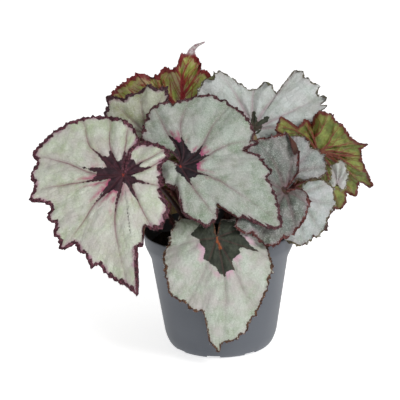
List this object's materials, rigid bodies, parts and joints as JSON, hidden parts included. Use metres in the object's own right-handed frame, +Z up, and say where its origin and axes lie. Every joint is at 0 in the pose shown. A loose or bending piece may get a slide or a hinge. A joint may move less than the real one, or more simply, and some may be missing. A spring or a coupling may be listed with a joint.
{
  "type": "potted rex begonia",
  "caption": "Rex begonia with silver-green toothed leaves, dark star centres and maroon margins on hairy red stalks, in a round grey nursery pot.",
  "frame": {"origin": "centre of the pot's foot, on the surface that it stands on", "axes": "+Z up along the pot's axis; -Y towards the front, where the two largest leaves face; +X to the right seen from the front"},
  "size_m": [0.2702, 0.1902, 0.238],
  "materials": {
    "pot_plastic": "matt grey moulded polypropylene",
    "potting_soil": "moist dark peat with crumbs",
    "rhizome_bark": "knobbly brown skin with leaf scars",
    "leaf_blade": "silver-green with a near-black star along the veins, maroon toothed margin, and a green underside with red veins",
    "leaf_stalk": "dark red, covered in fine pale hairs"
  },
  "bodies": {
    "root": {"pot": "pot_plastic", "soil": "potting_soil", "rhizome": "rhizome_bark", "leaf_a_blade": "leaf_blade", "leaf_a_stalk": "leaf_stalk", "leaf_b_blade": "leaf_blade", "leaf_b_stalk": "leaf_stalk", "leaf_c_blade": "leaf_blade", "leaf_c_stalk": "leaf_stalk", "leaf_d_blade": "leaf_blade", "leaf_d_stalk": "leaf_stalk", "leaf_e_blade": "leaf_blade", "leaf_e_stalk": "leaf_stalk", "leaf_f_blade": "leaf_blade", "leaf_f_stalk": "leaf_stalk", "leaf_g_blade": "leaf_blade", "leaf_g_stalk": "leaf_stalk", "leaf_h1_blade": "leaf_blade", "leaf_h1_stalk": "leaf_stalk", "leaf_h2_blade": "leaf_blade", "leaf_h2_stalk": "leaf_stalk", "leaf_i_blade": "leaf_blade", "leaf_i_stalk": "leaf_stalk", "leaf_k_blade": "leaf_blade", "leaf_k_stalk": "leaf_stalk", "leaf_l_blade": "leaf_blade", "leaf_l_stalk": "leaf_stalk", "leaf_m_blade": "leaf_blade", "leaf_m_stalk": "leaf_stalk", "leaf_n_blade": "leaf_blade", "leaf_n_stalk": "leaf_stalk", "leaf_o_blade": "leaf_blade", "leaf_o_stalk": "leaf_stalk", "leaf_p_blade": "leaf_blade", "leaf_p_stalk": "leaf_stalk", "leaf_q_blade": "leaf_blade", "leaf_q_stalk": "leaf_stalk"}
  },
  "joints": []
}
